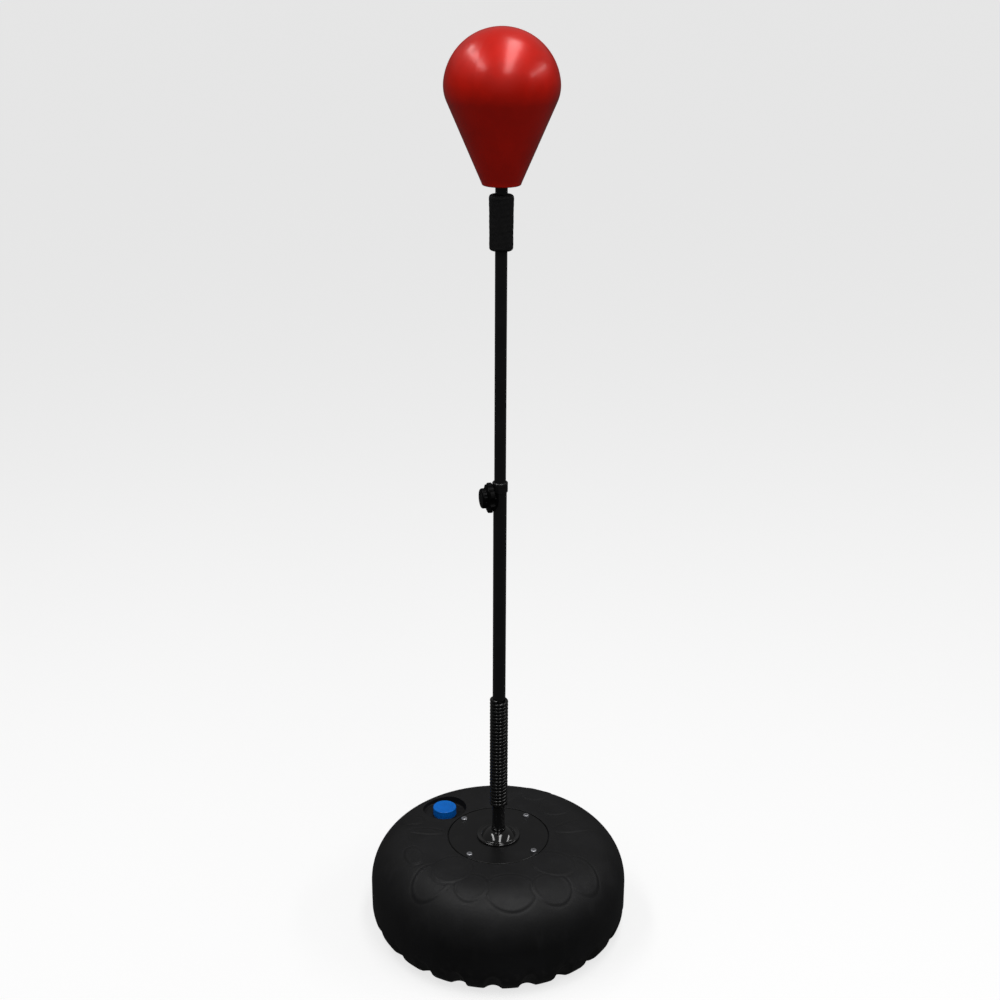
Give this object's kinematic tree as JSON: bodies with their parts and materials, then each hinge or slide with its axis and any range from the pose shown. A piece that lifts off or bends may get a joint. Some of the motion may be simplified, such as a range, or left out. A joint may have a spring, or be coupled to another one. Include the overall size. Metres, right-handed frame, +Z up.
{
  "type": "reflex bag stand",
  "caption": "Free-standing reflex bag: inflated teardrop ball on a telescopic pole, carried by a close-wound spring on a round fillable base with a screw cap.",
  "frame": {"origin": "on the floor under the pole, at the centre of the base's underside", "axes": "+Z up the pole, +X to the right of a user who faces the clamp and the filler cap is behind on the left, +Y away from that user"},
  "size_m": [0.45, 0.4498, 1.5412],
  "materials": {
    "tank_plastic": "blow-moulded black polyethylene, fine satin grain",
    "insert_brass": "turned, knurled",
    "plate_paint": "black powder coat, gloss",
    "screw_zinc": "zinc plated",
    "raw_steel": "plain turned steel, oiled",
    "stub_paint": "black enamel",
    "dome_enamel": "high-gloss black enamel",
    "spring_enamel": "dip-enamelled spring steel, gloss",
    "tube_paint": "black powder coat, semi-gloss",
    "bush_plastic": "moulded black nylon",
    "pad_nylon": "natural nylon",
    "stud_zinc": "rolled thread, zinc plated",
    "knob_plastic": "black moulded plastic, satin",
    "sleeve_foam": "closed-cell foam rubber, fine open grain",
    "ball_vinyl": "glossy red vinyl, inflated",
    "socket_nylon": "black nylon",
    "valve_rubber": "soft black rubber",
    "gasket_rubber": "flat nitrile ring",
    "cap_plastic": "blue moulded polypropylene"
  },
  "bodies": {
    "base": {"base_tank": "tank_plastic", "threaded_inserts": "insert_brass", "mounting_plate": "plate_paint", "plate_screws": "screw_zinc", "socket_boss": "raw_steel", "stub_post": "stub_paint", "jam_nut": "screw_zinc", "dome_cover": "dome_enamel"},
    "spring": {"coil_spring": "spring_enamel"},
    "lower_pole": {"upper_spring_plug": "raw_steel", "lower_tube": "tube_paint", "guide_bush": "bush_plastic", "weld_nut": "tube_paint"},
    "clamp_pad": {"pressure_pad": "pad_nylon"},
    "clamp_knob": {"clamp_stud": "stud_zinc", "star_knob": "knob_plastic"},
    "upper_pole": {"upper_tube": "tube_paint", "tube_end_bush": "bush_plastic", "hand_sleeve": "sleeve_foam", "pole_top_plug": "raw_steel", "ball_shell": "ball_vinyl", "ball_socket": "socket_nylon", "air_valve": "valve_rubber"},
    "gasket": {"cap_gasket": "gasket_rubber"},
    "cap": {"filler_cap": "cap_plastic"}
  },
  "joints": [
    {"name": "sway_side", "type": "hinge", "parent": "base", "child": "spring", "pos_m": [0, 0, 0.3053], "axis": [0, 1, 0], "range_deg": [-45, 45], "stiffness_Nm_per_rad": 90},
    {"name": "sway_front", "type": "hinge", "parent": "spring", "child": "lower_pole", "pos_m": [0, 0, 0.3719], "axis": [1, 0, 0], "range_deg": [-45, 45], "stiffness_Nm_per_rad": 90, "deforming": ["coil_spring"]},
    {"name": "height_adjust", "type": "slide", "parent": "lower_pole", "child": "upper_pole", "axis": [0, 0, 1], "range_m": [-0.28, 0]},
    {"name": "clamp_out", "type": "slide", "parent": "lower_pole", "child": "clamp_pad", "axis": [-0.9659, -0.2588, 0], "range_m": [0, 0.0025]},
    {"name": "clamp_turn", "type": "hinge", "parent": "clamp_pad", "child": "clamp_knob", "pos_m": [0, 0, 0.8107], "axis": [-0.9659, -0.2588, 0], "range_deg": [0, 720]},
    {"name": "cap_lift", "type": "slide", "parent": "base", "child": "gasket", "axis": [0, 0, 1], "range_m": [0, 0.016]},
    {"name": "cap_turn", "type": "hinge", "parent": "gasket", "child": "cap", "pos_m": [-0.09806, 0.08985, 0.16], "axis": [0, 0, 1], "range_deg": [0, 1440]}
  ],
  "couplings": [
    {"joint": "clamp_out", "follows": "clamp_turn", "m_per_rad": 0.00019894},
    {"joint": "cap_lift", "follows": "cap_turn", "m_per_rad": 0.00063662}
  ]
}
